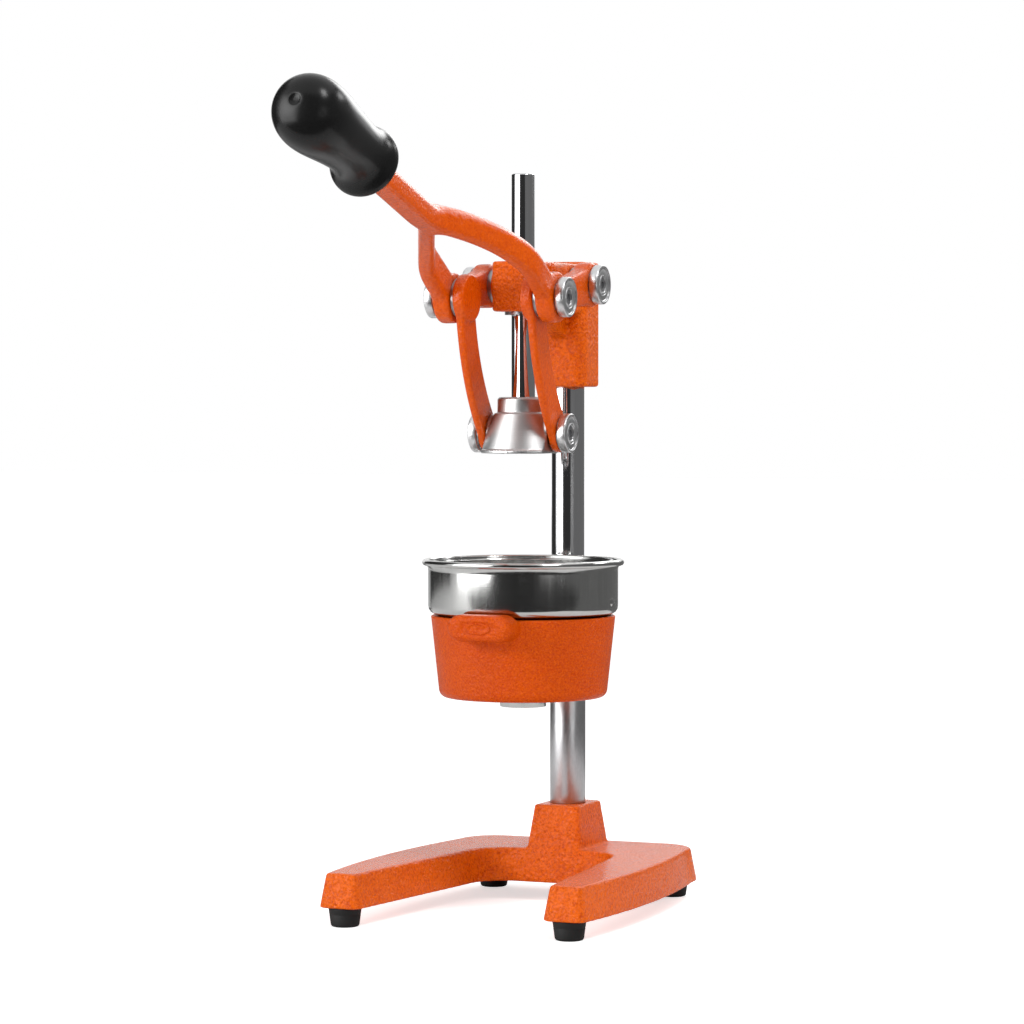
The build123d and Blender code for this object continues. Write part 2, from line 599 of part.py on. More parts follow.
def lever_plan():
    """The lever's plan: a bar that parts into a wishbone with two straight arms."""
    half_bar = BAR_WIDTH / 2
    right = [(half_bar, BAR_END_Y), (half_bar, FORK_ROOT_Y), (LEVER_OUT, FORK_HIP_Y), (LEVER_OUT, SHAFT_Y)]
    left = [(-x, y) for x, y in reversed(right)]
    plan = make_face(Polyline(*right, *left, close=True))
    plan = fork_corners(plan, half_bar, FORK_ROOT_Y, BAR_FLARE_R)
    plan = fork_corners(plan, LEVER_OUT, FORK_HIP_Y, FORK_HIP_R + LEVER_THICK)
    mouth = [(LEVER_IN, 0), (LEVER_IN, FORK_HIP_Y), (0, FORK_CROTCH_Y), (-LEVER_IN, FORK_HIP_Y),
             (-LEVER_IN, 0)]
    gap = make_face(Polyline(*mouth, close=True))
    gap = fork_corners(gap, 0, FORK_CROTCH_Y, FORK_CROTCH_R)
    gap = fork_corners(gap, LEVER_IN, FORK_HIP_Y, FORK_HIP_R)
    return plan - gap


def long_edges(body):
    """The edges that run along the lever's bar and arms, short of the eyes."""
    return [e for e in body.edges() if e.length > 12 and abs(e.center().X) > 1 and e.center().Y < FRONT_PIN_Y]


def is_crown(body, edge):
    """Whether an edge of the lever lies between its top and an outer side."""
    spot = edge.position_at(0.5)
    outward = Vector(2 if spot.X > 0 else -2, 0, 0)
    above, below = spot + Vector(0, 0, 2), spot - Vector(0, 0, 2)
    return (body.is_inside(below - outward) and not body.is_inside(below + outward)
            and not body.is_inside(above - outward))


def lever_casting():
    side = extrude(Plane.YZ * lever_side(), LEVER_OUT, both=True)
    plan = Pos(0, 0, FRONT_PIN_Z - LEVER_OUT) * extrude(lever_plan(), BAR_END_Z - FRONT_PIN_Z + 2 * LEVER_OUT)
    body = side & plan
    body = chamfer([e for e in long_edges(body) if is_crown(body, e)], LEVER_BEVEL)
    body = fillet(long_edges(body), LEVER_EDGE)
    for _, s in SIDES:
        for radius, y, z in ((LEVER_FRONT_EYE_R, FRONT_PIN_Y, FRONT_PIN_Z), (LEVER_REAR_EYE_R, SHAFT_Y, SHAFT_Z)):
            body += along_x(radius, s * LEVER_IN, s * LEVER_OUT, y, z)
        body -= along_x(FRONT_PIN_R + RUN_FIT, s * (LEVER_IN - 1), s * (LEVER_OUT + 1), FRONT_PIN_Y,
                        FRONT_PIN_Z)
        body -= along_x(SHAFT_R + STATIC_FIT, s * (LEVER_IN - 1), s * (LEVER_OUT + 1), SHAFT_Y, SHAFT_Z)
    return body + bar_frame() * Pos(0, 0, TANG_LENGTH / 2 - 1) * Cylinder(TANG_R, TANG_LENGTH + 2)


def bar_frame():
    """The end of the bar, with Z along the grip's axis away from the yoke."""
    return Pos(0, BAR_END_Y, BAR_END_Z) * Rot(90 - BAR_TILT, 0, 0)


def grip():
    """The moulded grip: a collar, a waist and a round bulb."""
    bulb_end = GRIP_BULB_AT + GRIP_BULB_R
    outline = make_face([Line((0, 0), (GRIP_COLLAR_R - 3, 0)),
                         ThreePointArc((GRIP_COLLAR_R - 3, 0), (GRIP_COLLAR_R - 0.9, 0.9), (GRIP_COLLAR_R, 3)),
                         Line((GRIP_COLLAR_R, 3), (GRIP_COLLAR_R, GRIP_COLLAR - 4)),
                         Spline((GRIP_COLLAR_R, GRIP_COLLAR - 4), (GRIP_NECK_R, GRIP_NECK_AT),
                                (GRIP_BULB_R, GRIP_BULB_AT), tangents=((0, 1), (0, 1))),
                         ThreePointArc((GRIP_BULB_R, GRIP_BULB_AT),
                                       (GRIP_BULB_R * math.sin(math.pi / 4),
                                        GRIP_BULB_AT + GRIP_BULB_R * math.cos(math.pi / 4)), (0, bulb_end)),
                         Line((0, bulb_end), (0, 0))])
    body = revolve(Plane.XZ * outline, Axis.Z)
    body -= Pos(0, 0, TANG_LENGTH / 2) * Cylinder(TANG_R + STATIC_FIT, TANG_LENGTH + 1)
    body -= Pos(0, 0, bulb_end) * Cylinder(GRIP_CAP_R, 2 * GRIP_CAP)
    return bar_frame() * body


# ---------------------------------------------------------------- cup, bowl and strainer

def cup_radius(z):
    share = (z - CUP_BOTTOM) / (CUP_TOP - CUP_BOTTOM)
    return CUP_BOTTOM_R + share * (CUP_TOP_R - CUP_BOTTOM_R)


def cup_holder():
    """The cast cup with its hub on the column and a finger lug at the front."""
    floor = CUP_BOTTOM + CUP_FLOOR
    body = turned([(0, CUP_BOTTOM), (CUP_BOTTOM_R, CUP_BOTTOM), (CUP_TOP_R, CUP_TOP), (0, CUP_TOP)], CUP_Y)
    body = fillet(body.edges().filter_by(GeomType.CIRCLE).sort_by(Axis.Z)[0], CUP_CORNER_R)
    body += upright(HUB_R, HUB_BOTTOM, HUB_TOP, 0)
    body += block(-HUB_WEB_HALF_X, HUB_WEB_HALF_X, CUP_Y + CUP_BOTTOM_R - 4, 0, HUB_BOTTOM, HUB_TOP)
    lug_z = CUP_TOP + LUG_RISE - LUG_HEIGHT / 2
    lug_face = CUP_Y - CUP_TOP_R - LUG_REACH
    lug = extrude(Pos(0, lug_face, lug_z) * Rot(90, 0, 0) * SlotOverall(LUG_WIDTH, LUG_HEIGHT), -LUG_ROOT)
    lug = fillet(lug.faces().sort_by(Axis.Y)[0].edges(), LUG_EDGE)
    body += lug
    dish = Pos(0, lug_face, lug_z) * Rot(90, 0, 0) * SlotOverall(LUG_DISH_WIDTH, LUG_DISH_HEIGHT)
    body -= extrude(dish, -LUG_DISH)
    body -= turned([(0, floor), (cup_radius(floor) - CUP_WALL, floor), (CUP_TOP_R - CUP_WALL, CUP_TOP + 1),
                    (0, CUP_TOP + 1)], CUP_Y)
    body -= upright(BOWL_R + BOWL_PLAY, CUP_TOP, CUP_TOP + LUG_RISE + 1, CUP_Y)
    body -= upright(CUP_DRAIN_R, CUP_BOTTOM - 1, floor + 1, CUP_Y)
    body -= upright(COLUMN_R + RUN_FIT, HUB_BOTTOM - 1, HUB_TOP + 1, 0)
    return body - along_y(KNOB_SCREW_R + STATIC_FIT, 0, HUB_R + 1, 0, (HUB_BOTTOM + HUB_TOP) / 2)


def cup_clamp_screw():
    """The lobed thumb screw behind the hub that sets the cup's height."""
    z = (HUB_BOTTOM + HUB_TOP) / 2
    body = along_y(KNOB_SCREW_R, COLUMN_R + RUN_FIT, HUB_R + KNOB_GAP + 2, 0, z)
    knob = Circle(KNOB_R)
    for i in range(KNOB_LOBES):
        knob -= Rot(0, 0, 360 * i / KNOB_LOBES) * Pos(KNOB_R + 1.5, 0) * Circle(3)
    return body + Pos(0, HUB_R + KNOB_GAP, z) * Rot(-90, 0, 0) * extrude(knob, KNOB_LENGTH)


def juice_bowl():
    """The sheet-steel bowl: rolled rim, step, well and spout."""
    seat = CUP_BOTTOM + CUP_FLOOR
    corner = BOWL_STEP_Z + BOWL_CORNER_R
    inner_corner = BOWL_CORNER_R - SHEET
    outline = make_face([
        Line((BOWL_R - SHEET, RIM_Z), (BOWL_R, RIM_Z)), Line((BOWL_R, RIM_Z), (BOWL_R, corner)),
        CenterArc((BOWL_R - BOWL_CORNER_R, corner), BOWL_CORNER_R, 0, -90),
        Line((BOWL_R - BOWL_CORNER_R, BOWL_STEP_Z), (BOWL_WELL_R, BOWL_STEP_Z)),
        Line((BOWL_WELL_R, BOWL_STEP_Z), (BOWL_WELL_R, seat + FUNNEL_RISE)),
        Line((BOWL_WELL_R, seat + FUNNEL_RISE), (SPOUT_R + SPOUT_FLARE, seat)), Line((SPOUT_R + SPOUT_FLARE, seat), (SPOUT_R, seat)),
        Line((SPOUT_R, seat), (SPOUT_R, SPOUT_BOTTOM)), Line((SPOUT_R, SPOUT_BOTTOM), (SPOUT_R - SHEET, SPOUT_BOTTOM)),
        Line((SPOUT_R - SHEET, SPOUT_BOTTOM), (SPOUT_R - SHEET, seat + SHEET)),
        Line((SPOUT_R - SHEET, seat + SHEET), (SPOUT_R + SPOUT_FLARE - SHEET / 8, seat + SHEET)),
        Line((SPOUT_R + SPOUT_FLARE - SHEET / 8, seat + SHEET), (BOWL_WELL_R - SHEET, seat + FUNNEL_RISE + SHEET)),
        Line((BOWL_WELL_R - SHEET, seat + FUNNEL_RISE + SHEET), (BOWL_WELL_R - SHEET, BOWL_STEP_Z + SHEET)),
        Line((BOWL_WELL_R - SHEET, BOWL_STEP_Z + SHEET), (BOWL_R - BOWL_CORNER_R, BOWL_STEP_Z + SHEET)),
        CenterArc((BOWL_R - BOWL_CORNER_R, corner), inner_corner, -90, 90),
        Line((BOWL_R - SHEET, corner), (BOWL_R - SHEET, RIM_Z))])
    body = Pos(0, CUP_Y, 0) * revolve(Plane.XZ * outline, Axis.Z)
    roll = Plane.XZ * Pos(BOWL_R + RIM_ROLL_R - RIM_BITE, RIM_Z) * Circle(RIM_ROLL_R)
    body += Pos(0, CUP_Y, 0) * revolve(roll, Axis.Z)
    for _, s in SIDES:
        body += Pos(s * (BOWL_R - SHEET / 2), CUP_Y, BOWL_STEP_Z + DIMPLE_RISE) * Sphere(DIMPLE_R / 2)
    return body


def strainer():
    """The pierced plate that lies on the bowl's step and catches pips and pulp."""
    low = BOWL_STEP_Z + SHEET
    radius = BOWL_R - BOWL_CORNER_R - STRAINER_PLAY
    body = upright(radius, low, low + SHEET, CUP_Y)
    body -= upright(REAMER_BOSS_R + RUN_FIT, low - 1, low + SHEET + 1, CUP_Y)
    wall = upright(radius, low, low + STRAINER_LIP, CUP_Y) - upright(radius - SHEET, low, low + STRAINER_LIP, CUP_Y)
    body += wall
    slots = []
    for ring in range(SLOT_RINGS):
        r = SLOT_FIRST_R + ring * SLOT_RING_STEP
        for i in range(SLOT_COUNT):
            turn = 360 * (i + 0.5 * (ring % 2)) / SLOT_COUNT
            slots.append(Rot(0, 0, turn) * Pos(r, 0) * Rot(0, 0, 90) * SlotOverall(SLOT_LENGTH, SLOT_WIDTH))
    return body - Pos(0, CUP_Y, low - 1) * extrude(Sketch() + slots, SHEET + 2)


def reamer():
    """The ribbed cone that half a fruit is pressed on; its boss locates in the strainer."""
    low = BOWL_STEP_Z + 2 * SHEET
    height = REAMER_HEIGHT
    core = make_face([Line((0, 0), (REAMER_R - REAMER_RIB_W, 0)),
                      Spline((REAMER_R - REAMER_RIB_W, 0), (REAMER_R * 0.55, height * 0.6), (0, height - 1.5),
                             tangents=((-0.25, 1), (-1, -0.05))),
                      Line((0, height - 1.5), (0, 0))])
    rib = make_face([Line((0, 0), (REAMER_R, 0)),
                     Spline((REAMER_R, 0), (REAMER_R * 0.66, height * 0.62), (0, height),
                            tangents=((-0.2, 1), (-1, -0.05))),
                     Line((0, height), (0, 0))])
    cone = revolve(Plane.XZ * core, Axis.Z)
    for i in range(REAMER_RIBS):
        cone += Rot(0, 0, 360 * i / REAMER_RIBS) * extrude(Plane.XZ * rib, REAMER_RIB_W / 2, both=True)
    cone += Pos(0, 0, -REAMER_BOSS / 2) * Cylinder(REAMER_BOSS_R, REAMER_BOSS)
    return Pos(0, CUP_Y, low) * cone


# ---------------------------------------------------------------- the whole juicer

def all_parts():
    parts = {"base_casting": base_casting(), "column": column(), "column_bolt": column_bolt(),
             "column_washer": column_washer(), "column_sleeve": column_sleeve()}
    for name, x, y in foot_places():
        parts[f"foot_{name}"] = foot(x, y)
        parts[f"foot_screw_{name}"] = foot_screw(x, y)
    parts["head_casting"] = head_casting()
    for name, z in zip(("lower", "upper"), CLAMP_SCREW_ZS):
        parts[f"head_clamp_screw_{name}"] = head_clamp_screw(z)
    parts.update(rod_bush=rod_bush(), plunger_rod=plunger_rod(), press_bell=press_bell(),
                 bell_set_screw=bell_set_screw(), pivot_shaft=pivot_shaft(),
                 lever_casting=lever_casting(), grip=grip())
    pivots = (("rear", LEVER_OUT, SHAFT_Y, SHAFT_Z), ("front", FRONT_FACE, FRONT_PIN_Y, FRONT_PIN_Z),
              ("lower", LOWER_FACE, PLUNGER_Y, LOWER_PIN_Z))
    for side, s in SIDES:
        parts[f"shaft_bush_{side}"] = shaft_bush(s)
        parts[f"front_pin_{side}"] = front_pin(s)
        parts[f"lower_pin_{side}"] = lower_pin(s)
        parts[f"link_{side}"] = link(s)
        parts[f"rear_spacer_{side}"] = spacer(s, CAP_WASHER_R, SHAFT_BOSS_HALF_X + SIDE_GAP, LEVER_IN,
                                              SHAFT_R + STATIC_FIT, SHAFT_Y, SHAFT_Z)
        parts[f"front_spacer_{side}"] = spacer(s, CAP_R, LINK_OUT, LEVER_IN - SIDE_GAP,
                                               FRONT_PIN_R + STATIC_FIT, FRONT_PIN_Y, FRONT_PIN_Z)
        for name, end, y, z in pivots:
            parts[f"{name}_washer_{side}"] = cap_washer(s, end, y, z)
            parts[f"{name}_cap_{side}"] = cap(s, end + CAP_WASHER, y, z)
            parts[f"{name}_cap_screw_{side}"] = cap_screw(s, end + CAP_WASHER, end, y, z)
    parts.update(cup_holder=cup_holder(), cup_clamp_screw=cup_clamp_screw(), juice_bowl=juice_bowl(),
                 strainer=strainer(), reamer=reamer())
    return parts


def main():
    os.makedirs("parts", exist_ok=True)
    parts = all_parts()
    box = Compound(children=[Compound(p.solids()) for p in parts.values()]).bounding_box()
    centre = Pos(-(box.min.X + box.max.X) / 2, -(box.min.Y + box.max.Y) / 2, -box.min.Z)
    print("column axis at Y =", -(box.min.Y + box.max.Y) / 2)
    for name, shape in parts.items():
        export_step(centre * shape, f"parts/{name}.step")


main()
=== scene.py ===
import bpy
from math import atan2, cos, pi, radians, sin
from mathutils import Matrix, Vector


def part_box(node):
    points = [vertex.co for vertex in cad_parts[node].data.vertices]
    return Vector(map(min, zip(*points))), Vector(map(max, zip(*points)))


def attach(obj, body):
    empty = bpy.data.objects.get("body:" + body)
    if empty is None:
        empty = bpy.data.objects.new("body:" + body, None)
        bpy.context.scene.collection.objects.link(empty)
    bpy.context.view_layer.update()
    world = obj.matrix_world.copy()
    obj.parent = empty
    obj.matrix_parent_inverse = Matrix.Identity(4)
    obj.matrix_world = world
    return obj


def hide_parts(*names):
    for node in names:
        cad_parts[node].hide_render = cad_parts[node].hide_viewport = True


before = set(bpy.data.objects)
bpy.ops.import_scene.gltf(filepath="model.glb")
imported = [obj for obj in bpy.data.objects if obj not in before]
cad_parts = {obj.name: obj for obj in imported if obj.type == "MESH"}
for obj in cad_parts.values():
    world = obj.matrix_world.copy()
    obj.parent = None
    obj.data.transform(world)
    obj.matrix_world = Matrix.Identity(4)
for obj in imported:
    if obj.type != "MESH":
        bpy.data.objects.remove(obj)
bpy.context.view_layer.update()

# ---- Base casting
# A horseshoe of cast iron, open to the front, with a square socket for the column's foot.
# Sand casting leaves every edge soft, and thick hammered orange enamel covers it.


class Shade:
    """A shader socket that plain arithmetic can be written on."""

    def __init__(self, tree, socket=None):
        self.tree, self.socket = tree, socket

    def node(self, kind, settings, sockets, outlet=0):
        made = self.tree.nodes.new(kind)
        for name, value in settings.items():
            setattr(made, name, value)
        for name, value in sockets.items():
            if isinstance(value, Shade):
                self.tree.links.new(value.socket, made.inputs[name])
            else:
                made.inputs[name].default_value = value
        return Shade(self.tree, made.outputs[outlet] if made.outputs else None)

    def math(self, operation, first, second):
        return self.node("ShaderNodeMath", {"operation": operation}, {0: first, 1: second})

    def __add__(self, other):
        return self.math("ADD", self, other)

    def __sub__(self, other):
        return self.math("SUBTRACT", self, other)

    def __rsub__(self, other):
        return self.math("SUBTRACT", other, self)

    def __mul__(self, other):
        return self.math("MULTIPLY", self, other)

    __radd__ = __add__
    __rmul__ = __mul__


def begin(name):
    """A new finish: the material, and the object's own coordinates to lay patterns by."""
    finish = bpy.data.materials.new(name)
    finish.use_nodes = True
    finish.node_tree.nodes.clear()
    return finish, Shade(finish.node_tree).node("ShaderNodeTexCoord", {}, {}, "Object")


def noise(place, scale, detail=2.0, swirl=0.0):
    """A soft random pattern, with about as many features to a unit of length as its scale."""
    return place.node("ShaderNodeTexNoise", {}, {"Vector": place, "Scale": scale, "Detail": detail,
                                                 "Distortion": swirl})


def between(low, high, share):
    """A colour that runs from low to high as share runs from 0 to 1."""
    factor, first, second, mixed = 0, 6, 7, 2
    return share.node("ShaderNodeMix", {"data_type": "RGBA"},
                      {factor: share, first: (*low, 1), second: (*high, 1)}, mixed)


def relief(height, depth):
    """A bumped normal, with the height's full range standing depth metres tall."""
    return height.node("ShaderNodeBump", {}, {"Height": height, "Distance": depth, "Strength": 1.0})


def lay(place, sockets):
    """Closes a finish with its surface shader."""
    skin = place.node("ShaderNodeBsdfPrincipled", {}, sockets)
    place.node("ShaderNodeOutputMaterial", {}, {"Surface": skin})


def enamel(name, light, mottle, grain, depth, roughness, gloss):
    """Orange enamel over a casting, with the pebbled skin that its grain size and depth give.

    Light is where its colour sits between the darker and the paler orange, and it is painted light:
    a paler setting stands in for a brightly lit part, a darker one for a dimly lit part. Mottle is
    how far it strays: random patches, with painted shade in the pebbles' dips and painted
    highlight on their tops."""
    finish, place = begin(name)
    pebbles = place.node("ShaderNodeTexVoronoi", {"feature": "SMOOTH_F1"},
                         {"Vector": place, "Scale": 0.62 / grain, "Smoothness": 0.7})
    wrinkles = noise(place, 0.8 / grain, 3.0, 0.6)
    patches = noise(place, 23.0, 3.0)
    fine = noise(place, 2600.0, 1.0)
    # Painted light: the wrinkles that raise the pebbles also darken their dips (painted shade) and pale
    # their tops (painted highlight); the patches are random tone, and light is a painted lighting level.
    patch_tone_and_painted_light = light + mottle * (patches * 0.4 + wrinkles * 1.5 - 0.95)
    lay(place, {"Base Color": between((0.55, 0.051, 0.001), (0.84, 0.132, 0.001), patch_tone_and_painted_light),
                "Roughness": roughness + 0.06 * (patches - 0.5) + 0.04 * fine, "Specular IOR Level": gloss,
                "Normal": relief(pebbles * 0.7 + wrinkles * 0.9 + fine * 0.02, depth)})
    return finish


def soft_casting(node, voxel, rounds):
    """The node's shape with moulded edges: a copy is welded, remeshed and relaxed."""
    bpy.ops.object.select_all(action="DESELECT")
    piece = bpy.data.objects.new(node + "_skin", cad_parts[node].data.copy())
    bpy.context.collection.objects.link(piece)
    piece.select_set(True)
    bpy.context.view_layer.objects.active = piece
    bpy.ops.object.mode_set(mode="EDIT")
    bpy.ops.mesh.select_all(action="SELECT")
    bpy.ops.mesh.remove_doubles(threshold=0.000002)
    bpy.ops.object.mode_set(mode="OBJECT")
    remesh = piece.modifiers.new("remesh", "REMESH")
    remesh.mode, remesh.voxel_size = "VOXEL", voxel
    bpy.ops.object.modifier_apply(modifier="remesh")
    relax = piece.modifiers.new("relax", "SMOOTH")
    relax.factor, relax.iterations = 0.5, rounds
    bpy.ops.object.modifier_apply(modifier="relax")
    bpy.ops.object.shade_smooth()
    return piece


def fit(piece, finish, slot, body, *nodes):
    """Gives a new piece its finish and its body, and lets it stand for its CAD nodes."""
    piece.data.materials.clear()
    piece.data.materials.append(finish)
    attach(piece, body)
    if nodes:
        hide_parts(*nodes)


# Painted light: the base's orange is set pale (0.78) to stand in for its bright lighting, and its pebbles
# get strong painted shade and highlight (1.9).
hammered = enamel("hammered_orange", 0.78, 1.9, 0.0015, 0.0015, 0.14, 0.20)
fit(soft_casting("base_casting", 0.0012, 7), hammered, "orange_cast", "frame", "base_casting")

# ---- Rubber feet
# Four turned rubber pads, each held to the base by a screw sunk in its underside.
# They are moulded with a rounded lower edge and a fine parting ring below the base.


def turned(name, rings, spot, tilt=(0.0, 0.0, 0.0), steps=96, hollow=False):
    """A turned piece: a circle is extruded and scaled from ring to ring, then set in place.

    A ring is its radius, its height and, where it stands off the axis, how far, in mm."""
    rings = [(*ring, 0.0)[:3] for ring in rings]
    bpy.ops.object.select_all(action="DESELECT")
    bpy.ops.mesh.primitive_circle_add(vertices=steps, radius=rings[0][0] / 1000,
                                      fill_type="NOTHING" if hollow else "NGON",
                                      location=(0, rings[0][2] / 1000, rings[0][1] / 1000))
    piece = bpy.context.object
    piece.name = name
    bpy.ops.object.mode_set(mode="EDIT")
    bpy.ops.mesh.select_all(action="SELECT")
    for (r0, z0, y0), (r1, z1, y1) in zip(rings, rings[1:]):
        bpy.ops.mesh.extrude_region_move(
            TRANSFORM_OT_translate={"value": (0, (y1 - y0) / 1000, (z1 - z0) / 1000)})
        bpy.ops.transform.resize(value=(r1 / r0, r1 / r0, 1.0))
    bpy.ops.mesh.select_all(action="SELECT")
    bpy.ops.mesh.remove_doubles(threshold=0.000001)
    bpy.ops.mesh.normals_make_consistent(inside=False)
    bpy.ops.object.mode_set(mode="OBJECT")
    bpy.ops.object.transform_apply(location=True, rotation=False, scale=False)
    piece.location, piece.rotation_euler = spot, tilt
    bpy.ops.object.transform_apply(location=True, rotation=True, scale=True)
    bpy.ops.object.shade_smooth_by_angle(angle=radians(32))
    return piece


def middle(node):
    """The middle of a CAD node's box."""
    low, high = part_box(node)
    return [(a + b) / 2 for a, b in zip(low, high)]


rubber, place = begin("matte_rubber")
dust = noise(place, 900.0, 3.0)
lay(place, {"Base Color": between((0.006, 0.006, 0.006), (0.012, 0.012, 0.012), dust),
            "Specular IOR Level": 0.25, "Roughness": 0.55 + 0.2 * dust, "Normal": relief(dust, 0.00006)})
for end in ("front", "rear"):
    for side in ("left", "right"):
        x, y, _ = middle(f"foot_{end}_{side}")
        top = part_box(f"foot_{end}_{side}")[1][2] * 1000
        recess, screw_hole = 5.1, 2.55
        pad = turned(f"rubber_foot_{end}_{side}",
                     [(recess, 5.4), (recess, 0.4), (5.5, 0.0), (8.6, 0.0), (9.6, 0.35), (10.3, 1.3),
                      (10.5, 2.4), (11.35, top - 5.2), (11.2, top - 4.8), (11.45, top - 4.4),
                      (11.98, top - 0.6), (11.7, top), (screw_hole, top), (screw_hole, 5.5), (recess, 5.4)],
                     (x, y, 0), hollow=True, steps=64)
        fit(pad, rubber, "foot_rubber", "frame", f"foot_{end}_{side}")

# ---- Screws, bolt and washer of the base
# Zinc-plated steel, bought in. They are only seen from below, so the CAD shapes show as they
# are, and the same finish later goes on the rest of the bought-in steel.


def dress(finish, *nodes):
    """Gives CAD nodes that show as they are their finish."""
    for node in nodes:
        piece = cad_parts[node]
        piece.data.materials.clear()
        piece.data.materials.append(finish)


zinc, place = begin("zinc_plate")
bloom = noise(place, 160.0, 3.0)
lay(place, {"Base Color": between((0.30, 0.30, 0.31), (0.46, 0.46, 0.47), bloom), "Metallic": 1.0,
            "Roughness": 0.24 + 0.22 * bloom, "Normal": relief(noise(place, 2400.0, 2.0), 0.00001)})
dress(zinc, "column_bolt", "column_washer", "foot_screw_front_left", "foot_screw_front_right",
      "foot_screw_rear_left", "foot_screw_rear_right")

# ---- Column and its sleeve
# The column is hard-chromed bar, polished like a mirror, with a chamfer at its top.
# The sleeve that sets the cup's height is drawn steel tube with a dull, grainy satin skin.


def stretched(place, across, along):
    """The coordinates scaled by one number across and another along the height."""
    return place.node("ShaderNodeMapping", {}, {"Vector": place, "Scale": (across, across, along)})


chrome, place = begin("mirror_chrome")
drawn = noise(stretched(place, 900.0, 14.0), 1.0, 2.0)
lay(place, {"Base Color": between((0.62, 0.62, 0.63), (0.72, 0.72, 0.73), drawn), "Metallic": 1.0,
            "Roughness": 0.05 + 0.05 * drawn, "Normal": relief(drawn, 0.000004)})
column_x, column_y, _ = middle("column")
low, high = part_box("column")
seat, top = low[2] * 1000, high[2] * 1000
bar_r, thread_r, thread_deep = 12.5, 5.02, 20
bar = turned("chrome_column", [(thread_r, seat + thread_deep), (thread_r, seat), (bar_r - 0.2, seat),
                               (bar_r, seat + 0.4), (bar_r, top - 1.0), (bar_r - 0.3, top - 0.4),
                               (bar_r - 1.0, top)],
             (column_x, column_y, 0), steps=128)
fit(bar, chrome, "chrome", "frame", "column")

satin, place = begin("satin_tube")
grain = noise(stretched(place, 700.0, 230.0), 1.0, 3.0)
blotch = noise(place, 60.0, 2.0)
lay(place, {"Base Color": between((0.40, 0.40, 0.41), (0.60, 0.60, 0.61), grain * 0.7 + blotch * 0.3),
            "Metallic": 1.0, "Roughness": 0.24 + 0.16 * grain, "Normal": relief(grain, 0.00005)})
low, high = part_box("column_sleeve")
foot, top = low[2] * 1000, high[2] * 1000
bore_r, tube_r = 12.56, 13.45
tube = turned("satin_sleeve", [(bore_r, foot), (tube_r - 0.15, foot), (tube_r, foot + 0.3),
                               (tube_r, top - 0.3), (tube_r - 0.15, top), (bore_r, top), (bore_r, foot)],
              (column_x, column_y, 0), steps=128, hollow=True)
fit(tube, satin, "satin_tube", "frame", "column_sleeve")

# ---- Cup holder
# One casting: a tapered cup, a hub that slides on the column and a finger lug at the front.
# Its enamel is finer than the base's, like leather, and an oval seal stands on the lug's face.

# Painted light: the cup's orange is set dark (0.28) to stand in for its dimmer lighting, with milder
# painted shade and highlight in its pebbles (1.0).
leathery = enamel("leathery_orange", 0.28, 1.0, 0.0011, 0.0010, 0.22, 0.11)
fit(soft_casting("cup_holder", 0.0011, 5), leathery, "orange_cast", "cup", "cup_holder")
low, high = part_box("cup_holder")
seal_y, seal_z, seal_stretch = low[1] + 0.0013, high[2] - 0.0098, 2.3
seal = turned("lug_seal", [(4.4, 0.0), (4.4, 0.5), (4.1, 1.0), (3.5, 1.1), (3.0, 0.8), (2.7, 0.4),
                           (0.5, 0.4), (0.3, 0.8), (0.1, 0.8)],
              (0, seal_y, seal_z), (pi / 2, 0, 0), steps=64)
seal.scale = (seal_stretch, 1.0, 1.0)
bpy.ops.object.transform_apply(location=False, rotation=False, scale=True)
fit(seal, leathery, "orange_cast", "cup")
dress(zinc, "cup_clamp_screw")

# ---- Juice bowl, strainer and reamer
# The bowl is spun from stainless sheet: a rolled rim, a brushed wall, a step for the strainer,
# a well and a drain spout. The strainer is pierced sheet, and the reamer is a ribbed casting.

brushed, place = begin("brushed_steel")
lines = noise(stretched(place, 26.0, 2600.0), 1.0, 2.0)
streaks = noise(stretched(place, 420.0, 9.0), 1.0, 2.0)
lay(place, {"Base Color": between((0.44, 0.44, 0.43), (0.60, 0.60, 0.59), lines * 0.3 + streaks * 0.7),
            "Metallic": 1.0, "Roughness": 0.09 + 0.05 * lines + 0.07 * streaks,
            "Normal": relief(lines * 0.3 + streaks * 0.7, 0.00002)})
bowl_x, bowl_y, _ = middle("juice_bowl")
wall, step, rim, sheet, corner = 70.2, 220.4, 258.6, 1.2, 6.0
well, well_floor, spout, spout_foot = 55.0, 168.9, 17.0, 151.8


def arc(r, mid_r, mid_z, angles):
    """Ring after ring round a bend in the sheet."""
    return [(mid_r + r * cos(radians(a)), mid_z + r * sin(radians(a))) for a in angles]


roll = arc(2.3, wall + 2.2, rim, range(180, -121, -20))
outer_corner = arc(corner, wall - corner, step + corner, (0, -22, -45, -67, -90))
inner_corner = arc(corner - sheet, wall - corner, step + corner, (-90, -67, -45, -22, 0))
bowl = turned("spun_bowl",
              [(wall - sheet, rim - 1.5), *roll, (wall + 0.12, rim - 4.3), (wall, rim - 6.5), *outer_corner,
               (well + 1.2, step), (well + 0.3, step - 0.4), (well, step - 1.2), (well, well_floor - 0.3),
               (well - 0.4, well_floor - 1.2), (spout + 6.0, 163.8), (spout + 0.9, 163.5), (spout, 162.4),
               (spout, spout_foot + 0.5), (spout - 0.2, spout_foot), (spout - 1.0, spout_foot),
               (spout - sheet, spout_foot + 0.5), (spout - sheet, 164.4), (spout - 0.4, 165.0),
               (spout + 5.9, 165.1), (well - 1.7, well_floor), (well - sheet, well_floor + 0.9),
               (well - sheet, step), (well - 0.7, step + 1.0), (well + 0.6, step + sheet), *inner_corner,
               (wall - sheet, rim - 1.5)],
              (bowl_x, bowl_y, 0), steps=160, hollow=True)
fit(bowl, brushed, "bowl_steel", "cup", "juice_bowl")
